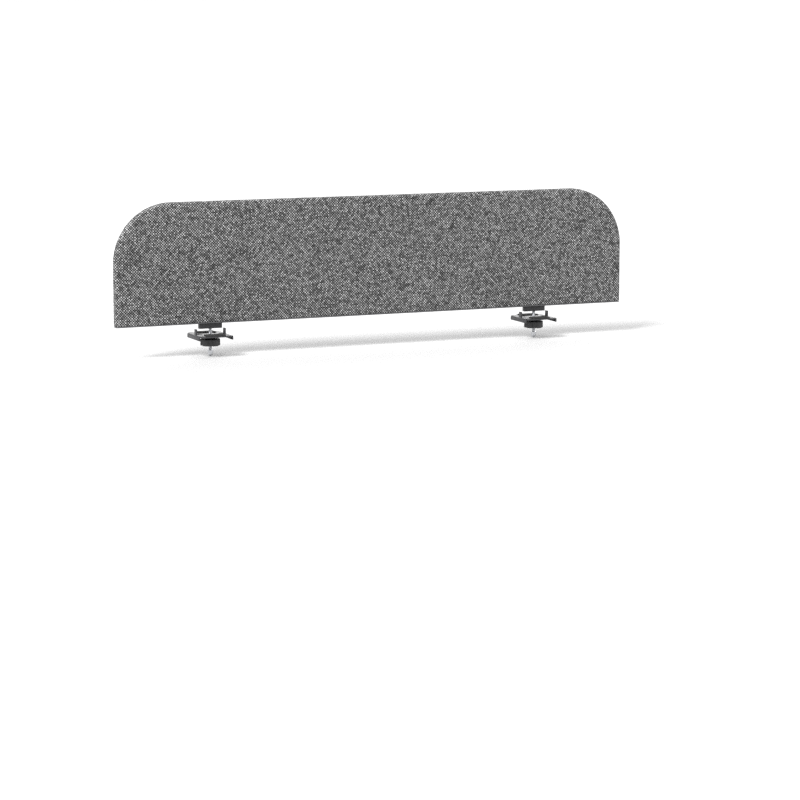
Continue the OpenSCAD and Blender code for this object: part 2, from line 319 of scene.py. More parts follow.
def pressed_fibre(name, colour, scale, bump, contrast=0.35):
    """Felt, foam or fibreboard: short fibres or cells pressed together."""
    s = Shader(name)
    place = s.place()
    fine, coarse = s.noise(place, scale, 5, 0.65), s.noise(place, scale / 9, 3)
    mixed = s.plus(s.times(fine, 0.7), s.times(coarse, 0.3))
    shade = s.mix(mixed, toned(colour, 1 - contrast), toned(colour, 1 + contrast))
    s.bump(fine, bump, 0.7)
    return s.finish(Base_Color=shade, Roughness=0.95, Specular_IOR_Level=0.2)


def coated_metal(name, colour, texture, roughness):
    """Steel under a fine-textured powder coat, which is rubbed thin along its edges."""
    s = Shader(name)
    place = s.place()
    orange_peel, dust = s.noise(place, 1500, 3, 0.6), s.noise(place, 60, 4)
    coat = s.mix(dust, toned(colour, 0.85), toned(colour, 1.2))
    worn = s.times(s.wear(0.5 * MM, s.noise(place, 240, 4, 0.65)), METAL_WEAR)
    s.bump(orange_peel, texture, 0.6)
    return s.finish(Base_Color=s.mix(worn, coat, WORN_METAL), Metallic=worn,
                    Roughness=s.spread(dust, roughness - 0.06, roughness + 0.08),
                    Specular_IOR_Level=0.5)


def bare_metal(name, colour, roughness, streak=(1.0, 1.0, 1.0)):
    """Plated or turned metal, with fine marks along the way it was worked."""
    s = Shader(name)
    place = s.place()
    stretched = s.make("Mapping", Vector=place, Scale=streak).outputs[0]
    marks, patina = s.noise(stretched, 2200, 3, 0.6), s.noise(place, 110, 4, 0.6)
    shade = s.mix(patina, toned(colour, 0.78), toned(colour, 1.08))
    scuffs = s.spread(marks, roughness - 0.05, roughness + 0.05)
    s.bump(marks, 0.01 * MM, 0.5)
    return s.finish(Base_Color=shade, Metallic=1.0,
                    Roughness=s.plus(s.spread(patina, -0.08, 0.1), scuffs))


def moulded(name, colour, roughness, grain, bump):
    """Moulded plastic or rubber with a fine even grain, rubbed smoother along its edges."""
    s = Shader(name)
    place = s.place()
    cells = s.make("TexVoronoi", Vector=place, Scale=grain).outputs["Distance"]
    haze = s.noise(place, 45, 4, 0.6)
    shade = s.mix(haze, toned(colour, 0.8), toned(colour, 1.3))
    rubbed = s.wear(0.7 * MM, s.noise(place, 160, 3, 0.6))
    s.bump(cells, bump, 0.5)
    worn = s.mix(s.times(rubbed, PLASTIC_WEAR), shade, toned(colour, 3.0))
    dull = s.spread(haze, roughness - 0.05, roughness + 0.07)
    gloss = s.math("SUBTRACT", dull, s.times(rubbed, PLASTIC_POLISH))
    return s.finish(Base_Color=worn, Roughness=gloss)


FABRIC = woven_cloth("woven_cloth")
SEAM_THREAD = spun_thread("seam_thread", (0.035, 0.035, 0.036))
FELT = pressed_fibre("pressed_felt", (0.30, 0.30, 0.29), 1300, 0.2 * MM)
FOAM = pressed_fibre("edge_foam", (0.05, 0.05, 0.055), 900, 0.3 * MM)
FIBREBOARD = pressed_fibre("fibreboard", (0.42, 0.30, 0.19), 700, 0.08 * MM, 0.2)
RAIL_COAT = coated_metal("rail_coat", (0.10, 0.10, 0.105), 0.06 * MM, 0.46)
JAW_COAT = coated_metal("jaw_coat", (0.022, 0.022, 0.024), 0.09 * MM, 0.42)
ZINC = bare_metal("zinc_plate", (0.62, 0.63, 0.65), 0.34)
SLEEVE_PLATE = bare_metal("sleeve_plate", (0.55, 0.50, 0.38), 0.38)
BRASS = bare_metal("turned_brass", (0.72, 0.52, 0.24), 0.28, (1.0, 1.0, 0.1))
NYLON = moulded("nylon", (0.022, 0.022, 0.024), 0.5, 900, 0.03 * MM)
KNOB_PLASTIC = moulded("knob_plastic", (0.018, 0.018, 0.019), 0.42, 1100, 0.04 * MM)
PAD_RUBBER = moulded("pad_rubber", (0.014, 0.014, 0.014), 0.78, 1400, 0.03 * MM)
CELL_RUBBER = pressed_fibre("cell_rubber", (0.02, 0.02, 0.02), 1500, 0.1 * MM)

# -------- mesh helpers

ACROSS = Vector((0, 1, 0))  # through the panel, from front to rear
AXIS_RADIUS = 0.01 * MM  # closes a turned shape at its axis


def make_piece(name, points, faces, material, sharp_angle=35):
    """A smooth-shaded object from points and faces, with edges over the angle kept sharp."""
    mesh = bpy.data.meshes.new(name)
    mesh.from_pydata([tuple(p) for p in points], [], [tuple(f) for f in faces])
    mesh.materials.append(material)
    piece = new_object(name, mesh)
    shade(piece, sharp_angle)
    return piece


def shade(piece, sharp_angle=35):
    """Outward normals, smooth faces and sharp edges over the angle."""
    edit = bmesh.new()
    edit.from_mesh(piece.data)
    bmesh.ops.remove_doubles(edit, verts=edit.verts, dist=1e-7)
    bmesh.ops.recalc_face_normals(edit, faces=edit.faces)
    for face in edit.faces:
        face.smooth = True
    for edge in edit.edges:
        bend = edge.calc_face_angle(0)
        edge.smooth = not edge.is_manifold or bend < math.radians(sharp_angle)
    edit.to_mesh(piece.data)
    edit.free()


def fill_mesh(mesh, sources):
    """Replaces a mesh's geometry with that of all the sources together."""
    edit = bmesh.new()
    for source in sources:
        edit.from_mesh(source)
    edit.to_mesh(mesh)
    edit.free()


def modify(piece, kind, **settings):
    step = piece.modifiers.new(kind, kind)
    for key, value in settings.items():
        setattr(step, key, value)


def apply_modifiers(piece):
    depsgraph = bpy.context.evaluated_depsgraph_get()
    mesh = bpy.data.meshes.new_from_object(piece.evaluated_get(depsgraph))
    piece.modifiers.clear()
    piece.data = mesh


def combine(piece, others, operation):
    """Unites the others with a piece, or cuts them out of it."""
    for other in others:
        modify(piece, "BOOLEAN", operation=operation, solver="EXACT", object=other)
    apply_modifiers(piece)
    for other in others:
        bpy.data.objects.remove(other)


def soften(piece, width, segments, angle=30):
    """Rounds a piece's hard edges."""
    modify(piece, "BEVEL", width=width, segments=segments, limit_method="ANGLE",
           angle_limit=math.radians(angle), use_clamp_overlap=True)
    apply_modifiers(piece)
    shade(piece)


def skin(rings, closed_path=False):
    """Points and faces drawn over equal rings of points; an open path gets end caps."""
    count, length = len(rings), len(rings[0])
    points = [p for ring in rings for p in ring]
    faces = []
    for i in range(count if closed_path else count - 1):
        a, b = i * length, (i + 1) % count * length
        for j in range(length):
            k = (j + 1) % length
            faces.append((a + j, a + k, b + k, b + j))
    if not closed_path:
        faces.append(tuple(range(length))[::-1])
        faces.append(tuple(range((count - 1) * length, count * length)))
    return points, faces


def circle_angles(sides):
    return [2 * math.pi * k / sides for k in range(sides)]


def polar(radius, angle, z):
    return Vector((radius * math.cos(angle), radius * math.sin(angle), z))


def circle(radius, z, sides):
    return [polar(radius, a, z) for a in circle_angles(sides)]


def turned(profile, sides, closed=False):
    """A lathe-turned shape about the Z axis from (radius, height) pairs."""
    return skin([circle(r, z, sides) for r, z in profile], closed)


def arc(centre_x, centre_y, radius, start, end, steps):
    """Points on an arc, with its angles in degrees."""
    angles = [math.radians(start + (end - start) * k / steps) for k in range(steps + 1)]
    return [(centre_x + radius * math.cos(a), centre_y + radius * math.sin(a)) for a in angles]


def quarter_turn(steps):
    """The angles of a quarter turn, without the first."""
    return [math.pi / 2 * (k + 1) / steps for k in range(steps)]


def dome(radius, top, rise, steps, power=1.0):
    """A half profile from the rim of a dome that hangs below top to just before its pole."""
    return [(radius * math.cos(a), top - rise * math.sin(a) ** power)
            for a in (math.pi / 2 * k / steps for k in range(steps))]


def in_mm(profile, level):
    """A half profile from (radius, height) pairs in millimetres above a level."""
    return [(r * MM, level + z * MM) for r, z in profile]


def rounded_rect(length, width, radius, steps=8):
    x, y = length / 2 - radius, width / 2 - radius
    return (arc(x, y, radius, 0, 90, steps) + arc(-x, y, radius, 90, 180, steps)
            + arc(-x, -y, radius, 180, 270, steps) + arc(x, -y, radius, 270, 360, steps))


def rectangle(start, end, half_width):
    return [(start, -half_width), (end, -half_width), (end, half_width), (start, half_width)]


def prism(outline_points, low, high):
    """An upright prism on a closed outline."""
    return skin([[Vector((x, y, z)) for x, y in outline_points] for z in (low, high)])


def beam(section, half_width):
    """A section in X and Z carried along Y."""
    return skin([[Vector((x, y, z)) for x, z in section] for y in (-half_width, half_width)])


def join(name, parts, material, sharp_angle=35):
    """One piece from several (points, faces) pairs."""
    points, faces = [], []
    for part_points, part_faces in parts:
        faces += [tuple(i + len(points) for i in f) for f in part_faces]
        points += list(part_points)
    return make_piece(name, points, faces, material, sharp_angle)


def moved(part, matrix):
    return [matrix @ Vector(p) for p in part[0]], part[1]


def copies(name, source, places):
    """One object with the source's mesh at each place; the source goes."""
    shifted = []
    for place in places:
        mesh = source.data.copy()
        mesh.transform(Matrix.Translation(place))
        shifted.append(mesh)
    piece = new_object(name, source.data.copy())
    fill_mesh(piece.data, shifted)
    for mesh in shifted:
        bpy.data.meshes.remove(mesh)
    bpy.data.objects.remove(source)
    return piece


def cutter(part):
    return make_piece("cutter", *part, ZINC)


# No point of a hole lies on the panel's middle line, where a cut can leave a torn edge.
DRILL_TURN = 0.05
DRILL_SIDES = 48
OVERCUT = 1 * MM


def drill(piece, holes):
    """Cuts upright round holes, given as (x, radius, low, high)."""
    cutters = []
    for x, radius, low_z, high_z in holes:
        place = Matrix.Translation((x, 0, 0)) @ Matrix.Rotation(DRILL_TURN, 4, "Z")
        cutters.append(cutter(moved(turned([(radius, low_z), (radius, high_z)], DRILL_SIDES),
                                    place)))
    combine(piece, cutters, "DIFFERENCE")


def settle(piece, body, slot, *nodes):
    """Gives a piece its body and hides the CAD nodes that it stands for; the slot is not used."""
    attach(piece, body)
    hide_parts(*nodes)


# -------- the panel's outline

STEP = 3.4 * MM
RISE_STEPS = round((STRAIGHT_TOP - FACE_BOTTOM) / STEP)
ARC_STEPS = 2 * round(CORNER_RADIUS * math.pi / 4 / STEP)
TOP_STEPS = round((HALF_LENGTH - CORNER_RADIUS) / STEP)


def half_outline(inset):
    """Points and outward normals from the foot of the right end to the middle of the top."""
    radius = CORNER_RADIUS - inset
    corner = HALF_LENGTH - CORNER_RADIUS
    trail = []
    for k in range(RISE_STEPS):
        z = FACE_BOTTOM + (STRAIGHT_TOP - FACE_BOTTOM) * k / RISE_STEPS
        trail.append((HALF_LENGTH - inset, z, 1.0, 0.0))
    for k in range(ARC_STEPS):
        a = math.pi / 2 * k / ARC_STEPS
        nx, nz = math.cos(a), math.sin(a)
        trail.append((corner + radius * nx, STRAIGHT_TOP + radius * nz, nx, nz))
    for k in range(TOP_STEPS + 1):
        trail.append((corner * (1 - k / TOP_STEPS), PANEL_TOP - inset, 0.0, 1.0))
    return trail


def outline(inset):
    """The open outline from the foot of the left end, over the top, to that of the right end."""
    right = half_outline(inset)
    left = [(-x, z, -nx, nz) for x, z, nx, nz in right]
    return left + right[-2::-1]


# -------- the cloth covers

SIDE_CELLS = RISE_STEPS + ARC_STEPS // 2
RIM_STEPS = 10
HEM_STEPS = 5
TURNED_IN = 5 * MM  # past the rounds, in the seam and under the hem
HEM_ROWS = (2.5 * MM, TURNED_IN)
HEM_SLOPE = 0.03
CROWN = 0.5 * MM
CROWN_REACH = 50 * MM
FOOT_SLACK = 20 * MM
RIPPLE = 0.22 * MM
# Each layer of ripples: waves per metre along and up, a shift of the seed, and a share.
RIPPLES = ((9, 14, 0, 1.0), (31, 37, 5, 0.5))
RIM_WOBBLE = 0.25 * MM
WOBBLE_SCALE = 60
WOBBLE_SHIFT = 9
WOBBLE_CHANGE = 40
BLEND_PUSH = 3 * MM
BLEND_CROWN = 4 * MM
# The tuck into the seam: how far out from the rim's own line, depth from the panel's middle,
# and length of cloth past the end of the round, in millimetres.
TUCK = ((0.1, 2.4, 1.1), (-0.05, 1.6, 1.9), (-0.35, 1.0, 2.6), (-0.9, 0.62, 3.2),
        (-2.6, 0.4, 5.0))


def face_grid():
    """Points in X and Z that fill the flat face: rows go up, columns go from left to right."""
    rim = np.array([(x, z) for x, z, _, _ in outline(EDGE_RADIUS)])
    left, right = rim[: SIDE_CELLS + 1], rim[::-1][: SIDE_CELLS + 1]
    top = rim[SIDE_CELLS : len(rim) - SIDE_CELLS]
    lengths = np.concatenate([[0], np.cumsum(np.linalg.norm(np.diff(top, axis=0), axis=1))])
    share = lengths / lengths[-1]
    bottom_x = left[0, 0] + share * (right[0, 0] - left[0, 0])
    bottom = np.stack([bottom_x, np.full(len(share), FACE_BOTTOM)], 1)
    u, v = share[None, :, None], np.linspace(0, 1, SIDE_CELLS + 1)[:, None, None]
    corners = ((1 - u) * (1 - v) * bottom[0] + u * (1 - v) * bottom[-1]
               + (1 - u) * v * top[0] + u * v * top[-1])
    return ((1 - v) * bottom[None] + v * top[None]
            + (1 - u) * left[:, None] + u * right[:, None] - corners)


def softness(x, z, seed):
    """How far the cloth stands off a flat face, from a slight crown and faint ripples."""
    edge = min(HALF_LENGTH - abs(x), PANEL_TOP - z, z - PANEL_BOTTOM + FOOT_SLACK)
    rise = 1 - math.exp(-max(edge, 0) / CROWN_REACH)
    ripple = sum(share * noise.noise(Vector((x * waves_along, z * waves_up, seed + shift)))
                 for waves_along, waves_up, shift, share in RIPPLES)
    return CROWN * rise + RIPPLE * ripple * rise


class Sheet:
    """A cloth skin as it grows: its points, their places on the flat cloth, and its faces."""

    def __init__(self, side, seed):
        self.side, self.seed = side, seed
        self.points, self.cloth, self.faces = [], [], []

    def add(self, point, flat_x, flat_y):
        x, y, z = point
        self.points.append((x, self.side * y, z))
        self.cloth.append((self.side * flat_x + self.seed, flat_y, 0.0))
        return len(self.points) - 1

    def weave(self, near, far):
        """Fills the strip between two rows of points."""
        for k in range(len(near) - 1):
            self.faces.append((near[k], near[k + 1], far[k + 1], far[k]))

    def piece(self, name):
        mesh = bpy.data.meshes.new(name)
        mesh.from_pydata(self.points, [], self.faces)
        mesh.materials.append(FABRIC)
        places = mesh.attributes.new("cloth", "FLOAT_VECTOR", "POINT")
        places.data.foreach_set("vector", np.ravel(self.cloth))
        mesh.polygons.foreach_set("use_smooth", [True] * len(mesh.polygons))
        if self.side > 0:
            mesh.flip_normals()
        return new_object(name, mesh)


def add_rim(sheet, face):
    """Carries the face's edge round a quarter circle and into the seam; gives all its rows."""
    section = [(EDGE_RADIUS * math.sin(a), FLAT_EDGE + EDGE_RADIUS * math.cos(a), EDGE_RADIUS * a)
               for a in quarter_turn(RIM_STEPS)]
    reach = section[-1][2]
    section += [(EDGE_RADIUS + out * MM, depth * MM, reach + length * MM)
                for out, depth, length in TUCK]
    edge = [row[0] for row in face] + face[-1][1:-1] + [row[-1] for row in face[::-1]]
    rows = [edge]
    for out, depth, length in section:
        row = []
        for (x, z, nx, nz), start in zip(outline(EDGE_RADIUS), edge):
            seed = sheet.seed + WOBBLE_SHIFT + WOBBLE_CHANGE * length
            ripple = noise.noise(Vector((x * WOBBLE_SCALE, z * WOBBLE_SCALE, seed)))
            push = (out + RIM_WOBBLE * ripple) * min(1.0, length / BLEND_PUSH)
            crown = abs(sheet.points[start][1]) - HALF_THICKNESS
            y = depth + crown * math.exp(-length / BLEND_CROWN)
            row.append(sheet.add((x + push * nx, y, z + push * nz),
                                 x + nx * length, z + nz * length))
        sheet.weave(rows[-1], row)
        rows.append(row)
    return rows


def add_hem(sheet, face_foot, rim):
    """Turns the foot of the face and of both rims in under the panel."""
    foot = [row[0] for row in rim[::-1]] + face_foot[1:-1] + [row[-1] for row in rim]
    turns = [(HEM_RADIUS * (1 - math.cos(a)), HEM_RADIUS * math.sin(a), HEM_RADIUS * a)
             for a in quarter_turn(HEM_STEPS)]
    turns += [(HEM_RADIUS + d, HEM_RADIUS, HEM_RADIUS * math.pi / 2 + d) for d in HEM_ROWS]
    hem_length = turns[-1][2]
    previous = foot
    for pull, drop, length in turns:
        row = []
        for index in foot:
            x, y, z = sheet.points[index]
            flat_x, flat_y, _ = sheet.cloth[index]
            end = min(1.0, max(0.0, abs(x) - (HALF_LENGTH - EDGE_RADIUS)) / EDGE_RADIUS)
            in_x, in_y = -math.copysign(end, x), -math.sqrt(1 - end ** 2)
            # The two hems meet at the middle. The slope keeps the faces there from closing up.
            least = HALF_SEAM + HEM_SLOPE * (hem_length - length)
            depth = min(max(least, abs(y) + in_y * pull), abs(y))
            row.append(sheet.add((x + in_x * pull, depth, z - drop),
                                 sheet.side * (flat_x - sheet.seed), flat_y - length))
        sheet.weave(row, previous)
        previous = row


def cover(name, side, seed):
    """One cloth skin: its face, the rim that turns in to the seam, and the hem underneath."""
    sheet = Sheet(side, seed)
    face = [[sheet.add((x, HALF_THICKNESS + softness(x, z, seed), z), x, z) for x, z in row]
            for row in face_grid().tolist()]
    for lower, upper in zip(face, face[1:]):
        sheet.weave(lower, upper)
    add_hem(sheet, face[0], add_rim(sheet, face))
    return sheet.piece(name)


def covers():
    for row_name, side, seed in (("front", -1, 0.0), ("rear", 1, 3.7)):
        node = row_name + "_cover"
        piece = cover("woven_" + node, side, seed)
        settle(piece, "panel", "cloth", node)


# -------- the layers under the cloth

FOAM_GAP = 0.2 * MM
FOAM_INSET = 10 * MM


def foam_edge():
    """The soft strip round the board's ends and top."""
    radius = EDGE_RADIUS - CLOTH_THICKNESS - FOAM_GAP
    front = arc(-EDGE_RADIUS, FLAT_EDGE, radius, 90, 0, 8)
    back = arc(-EDGE_RADIUS, -FLAT_EDGE, radius, 0, -90, 8)
    section = [(-FOAM_INSET, HALF_BOARD), (-EDGE_RADIUS, HALF_BOARD)] + front + back
    section += [(-EDGE_RADIUS, -HALF_BOARD), (-FOAM_INSET, -HALF_BOARD)]
    rings = [[Vector((x + out * nx, depth, z + out * nz)) for out, depth in section]
             for x, z, nx, nz in outline(0.0)]
    foam = make_piece("foam_edge", *skin(rings), FOAM)
    settle(foam, "panel", "foam", "edge_foam")


def felt_layer(row_name, side):
    """A slab of felt with softly cut edges."""
    low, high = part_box("rear_pin_layer")
    ease = 0.9 * MM
    levels = ((ease, low.y), (0.0, low.y + 0.6 * MM), (0.0, high.y - 0.9 * MM),
              (ease, high.y - 0.2 * MM))
    rings = []
    for inset, depth in levels:
        trail = outline(EDGE_RADIUS + inset)
        ends = (0, len(trail) - 1)
        rings.append([Vector((x, side * depth, z + (inset if k in ends else 0)))
                      for k, (x, z, _, _) in enumerate(trail)])
    felt = make_piece(row_name + "_felt", *skin(rings), FELT)
    settle(felt, "panel", "felt", row_name + "_pin_layer")


# -------- the edge seam

STITCH_PITCH = 6 * MM
STITCH_REACH = 1.6 * MM
STITCH_RADIUS = 0.2 * MM
STITCH_STEPS = 4  # from its middle to each end
STITCH_SLANT = 0.4 * MM
STITCH_SINK = 0.4 * MM
STITCH_DEPTH = 0.12 * MM
CORD_DEPTH = 1.05 * MM
CORD_LAY = 4.5 * MM
CORD_STEP = 0.75 * MM
CORD_STRAND = 0.34 * MM
CORD_PACKING = 0.75
THREAD_SIDES = 6


def even_places(step):
    """Evenly spaced points along the outline, each with its tangent and outward normal."""
    places, along = [], 0.0
    trail = outline(0.0)
    for (x, z, nx, nz), (next_x, next_z, _, _) in zip(trail, trail[1:]):
        gap = math.hypot(next_x - x, next_z - z)
        tangent = Vector((next_x - x, 0, next_z - z)) / gap
        while along < gap:
            places.append((Vector((x, 0, z)) + tangent * along, tangent, Vector((nx, 0, nz))))
            along += step
        along -= gap
    return places


def thread_ring(middle, radius, first, second):
    """A ring of points round a thread, in the plane of two directions."""
    return [middle + radius * (first * math.cos(a) + second * math.sin(a))
            for a in circle_angles(THREAD_SIDES)]


def cord_strand(phase):
    """One of the strands that twist round each other in the cord."""
    rings = []
    for k, (point, _, normal) in enumerate(even_places(CORD_STEP)):
        turn = phase + 2 * math.pi * k * CORD_STEP / CORD_LAY
        lay = ACROSS * math.sin(turn) + normal * math.cos(turn)
        middle = point - CORD_DEPTH * normal + CORD_PACKING * CORD_STRAND * lay
        rings.append(thread_ring(middle, CORD_STRAND, ACROSS, normal))
    return skin(rings)


def stitch(point, tangent, normal):
    """A thread pulled tight across the groove, its ends sunk in the cloth on both sides."""
    rings = []
    for k in range(-STITCH_STEPS, STITCH_STEPS + 1):
        share = k / STITCH_STEPS
        middle = point + ACROSS * share * STITCH_REACH + tangent * share * STITCH_SLANT
        middle -= normal * (STITCH_DEPTH + STITCH_SINK * share ** 4)
        rings.append(thread_ring(middle, STITCH_RADIUS, tangent, normal))
    return skin(rings)


def seam():
    """A twisted cord sunk between the two covers, crossed by evenly spaced ladder stitches."""
    strands = [cord_strand(phase) for phase in (0, math.pi)]
    stitches = [stitch(*place) for place in even_places(STITCH_PITCH)]
    piece = join("edge_seam_stitched", strands + stitches, SEAM_THREAD)
    settle(piece, "panel", "seam", "edge_seam")


# -------- screws, studs and end nuts

THREAD_FLANK = 2.645  # how steeply a thread rises from its root, in depths per pitch
ROD_CHAMFER = 0.3 * MM
POINT_LENGTH = 3 * MM
SCREW_PITCH = 1.8 * MM
SCREW_THREAD = 0.45 * MM
SCREW_POINT = 0.85
SCREW_BEAD = 0.25 * MM
DOME_START = 0.8 * MM
RECESS_HALF_WIDTH = 0.45 * MM
RECESS_REACH = 2.1 * MM
RECESS_DEPTH = 1.5 * MM
RECESS_MOUTH = 1.08  # its size just below the head and at its floor
RECESS_FLOOR = 0.45
SCREW_GAP = 8 * MM
STUD_PITCH = 1.25 * MM
STUD_THREAD = 0.72 * MM
STUD_CLEARANCE = 0.02 * MM


def threaded_rod(radius, pitch, depth, low, high, sides=24, rings_per_pitch=8, point=0.0):
    """A rod with a right-hand V thread, drawn to a point above or chamfered below."""
    count = round((high - low) / pitch * rings_per_pitch)
    rings = []
    for k in range(count + 1):
        z = low + (high - low) * k / count
        ring = []
        for a in circle_angles(sides):
            phase = ((z - low) / pitch - a / (2 * math.pi)) % 1.0
            r = radius - depth * (1 - min(1.0, THREAD_FLANK * abs(phase - 0.5)))
            if point:
                r *= 1 - point * max(0.0, (z - high) / POINT_LENGTH + 1)
            else:
                r = min(r, radius - depth - ROD_CHAMFER + z - low)
            ring.append(polar(r, a, z))
        rings.append(ring)
    return skin(rings)


def wood_screw(name, length):
    """A pan-head screw with a cross recess, its head below z = 0 and its point up."""
    profile = [(AXIS_RADIUS, -HEAD_HEIGHT)]
    profile += dome(HEAD_RADIUS, -DOME_START, HEAD_HEIGHT - DOME_START, 8, 0.9)[::-1]
    profile += [(HEAD_RADIUS, -SCREW_BEAD), (HEAD_RADIUS - SCREW_BEAD, 0.0),
                (SCREW_RADIUS, 0.0), (SCREW_RADIUS, 0.2 * MM), (AXIS_RADIUS, 0.2 * MM)]
    head = make_piece(name, *turned(profile, 48), ZINC)
    corners = rectangle(-RECESS_REACH, RECESS_REACH, RECESS_HALF_WIDTH)
    cutters = []
    for angle in (0, math.pi / 2):
        rings = [[Vector((x * size, y * size, z)) for x, y in corners]
                 for size, z in ((RECESS_MOUTH, -HEAD_HEIGHT - OVERCUT),
                                 (RECESS_FLOOR, -HEAD_HEIGHT + RECESS_DEPTH))]
        cutters.append(cutter(moved(skin(rings), Matrix.Rotation(angle, 4, "Z"))))
    combine(head, cutters, "DIFFERENCE")
    shade(head, 30)
    rod = make_piece("rod", *threaded_rod(SCREW_RADIUS, SCREW_PITCH, SCREW_THREAD, 0.1 * MM,
                                          length, 16, 6, SCREW_POINT), ZINC)
    fill_mesh(head.data, [head.data, rod.data])
    bpy.data.objects.remove(rod)
    return head


def screw_places(node):
    """The middles of a group's screws along the panel, found from the CAD node's own points."""
    lengths = np.sort([v.co.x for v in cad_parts[node].data.vertices])
    groups = np.split(lengths, np.flatnonzero(np.diff(lengths) > SCREW_GAP) + 1)
    return [(group[0] + group[-1]) / 2 for group in groups]


def screw_group(node):
    low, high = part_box(node)
    head_seat = low.z + HEAD_HEIGHT
    screw = wood_screw(node + "_one", high.z - head_seat)
    places = [Vector((x, 0, head_seat)) for x in screw_places(node)]
    settle(copies("cross_" + node, screw, places), "panel", "zinc_steel", node)


def at_clamp(clamp):
    return Matrix.Translation((CLAMPS[clamp], 0, 0))


def stud(clamp):
    node = "stud_" + clamp
    low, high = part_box(node)
    radius = (high.x - low.x) / 2 - STUD_CLEARANCE
    rod = threaded_rod(radius, STUD_PITCH, STUD_THREAD, low.z, high.z)
    middle = Matrix.Translation(((low.x + high.x) / 2, 0, 0))
    piece = make_piece("threaded_" + node, *moved(rod, middle), ZINC, 50)
    settle(piece, "panel", "zinc_steel", node)


NUT_HEIGHT = 6.5 * MM
NUT_HALF_FLATS = 6.5 * MM
NUT_DOME = 5.8 * MM
NUT_SIDES = 72
# Half profiles in millimetres, from the nut's top face and from its neck.
NUT_RIM = ((3.9, 0.0), (4.1, 0.0), (6.1, 0.0), (6.7, -0.25), (7.6, -0.75))
NUT_SHOULDER = ((7.6, 0.75), (6.7, 0.2), (6.0, 0.0), (5.7, -0.4), (5.8, -1.0))


def domed_nut(name, top, bottom):
    """A hexagon nut closed by a dome, hanging below its top face."""
    neck = top - NUT_HEIGHT
    levels = [(AXIS_RADIUS, top)] + in_mm(NUT_RIM, top) + in_mm(NUT_SHOULDER, neck)
    levels += dome(NUT_DOME, bottom + NUT_DOME, NUT_DOME, 12)
    levels += [(2 * AXIS_RADIUS, bottom)]
    rings = []
    for reach, z in levels:
        ring = []
        for a in circle_angles(NUT_SIDES):
            wedge = (a + math.pi / 6) % (math.pi / 3) - math.pi / 6
            r = min(reach, NUT_HALF_FLATS / math.cos(wedge)) if neck <= z else reach
            ring.append(polar(r, a + math.pi / 6, z))
        rings.append(ring)
    return make_piece(name, *skin(rings), ZINC, 28)


def end_nuts():
    low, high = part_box("end_nuts")
    nuts = copies("domed_end_nuts", domed_nut("end_nut", high.z, low.z),
                  [Vector((x, 0, 0)) for x in CLAMPS.values()])
    settle(nuts, "panel", "zinc_steel", "end_nuts")


# -------- the rail and the clamps

RAIL_CORNER = 4 * MM
RAIL_EASE = 0.35 * MM
SCREW_HOLE = 2.1 * MM
STUD_HOLE = 4.2 * MM


def rail():
    """The flat steel rail, with softened edges and a hole for every stud and screw."""
    low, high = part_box("base_rail")
    corners = rounded_rect(high.x - low.x, high.y - low.y, RAIL_CORNER, 10)
    piece = make_piece("pressed_rail", *prism(corners, low.z, high.z), RAIL_COAT)
    soften(piece, RAIL_EASE, 2)
    through = (low.z - OVERCUT, high.z + OVERCUT)
    screws = screw_places("rail_screws") + screw_places("key_screws")
    drill(piece, [(x, SCREW_HOLE, *through) for x in screws]
          + [(x, STUD_HOLE, *through) for x in CLAMPS.values()])
    shade(piece, 30)
    settle(piece, "panel", "rail_steel", "base_rail")


KEY_CORNER = 2 * MM
KEY_EASE = 0.7 * MM
KEY_SCREW_X = 20 * MM
KEY_SCREW_HOLE = 2.2 * MM
COUNTERBORE = 4.2 * MM
COUNTERBORE_DEPTH = 4 * MM
RELIEF_X = 10 * MM
RELIEF_SIZE = (7 * MM, 1.6 * MM, 0.7 * MM)  # length, width and corner radius
RELIEF_TOP = 2 * MM


def gap_key(clamp):
    """A nylon block with softened edges, two counterbored screw holes and relief slots."""
    node = "gap_key_" + clamp
    low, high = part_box(node)
    length, width = high.x - low.x, high.y - low.y
    corners = rounded_rect(length, width, KEY_CORNER)
    block = make_piece("nylon_" + node, *prism(corners, low.z, high.z), NYLON)
    soften(block, KEY_EASE, 3)
    bottom, top = low.z - OVERCUT, high.z + OVERCUT
    holes = [(0, STUD_HOLE, bottom, top)]
    for x in (-KEY_SCREW_X, KEY_SCREW_X):
        holes += [(x, COUNTERBORE, bottom, low.z + COUNTERBORE_DEPTH),
                  (x, KEY_SCREW_HOLE, bottom, top)]
    drill(block, holes)
    slots = []
    for x in (-RELIEF_X, RELIEF_X):
        for y in (-width / 2, width / 2):
            slot = [(x + px, y + py) for px, py in rounded_rect(*RELIEF_SIZE, 4)]
            slots.append(cutter(prism(slot, bottom, high.z - RELIEF_TOP)))
    combine(block, slots, "DIFFERENCE")
    shade(block, 25)
    block.data.transform(at_clamp(clamp))
    settle(block, "panel", "nylon", node)


def strip(path, thickness):
    """A section of a bent strip from its outer line; the inner line is offset to the left."""
    inner = []
    for k, (x, z) in enumerate(path):
        (x0, z0), (x1, z1) = path[max(k - 1, 0)], path[min(k + 1, len(path) - 1)]
        length = math.hypot(x1 - x0, z1 - z0)
        inner.append((x - (z1 - z0) / length * thickness, z + (x1 - x0) / length * thickness))
    return path + inner[::-1]


JAW_STEEL = 3 * MM
JAW_BEND = 4 * MM
JAW_LIP = 10 * MM
JAW_HOLE = 4.5 * MM
TAB_X = 38 * MM
TAB_HALF_WIDTH = 6.5 * MM
TAB_GAP = 0.05 * MM
WINDOW = 14 * MM


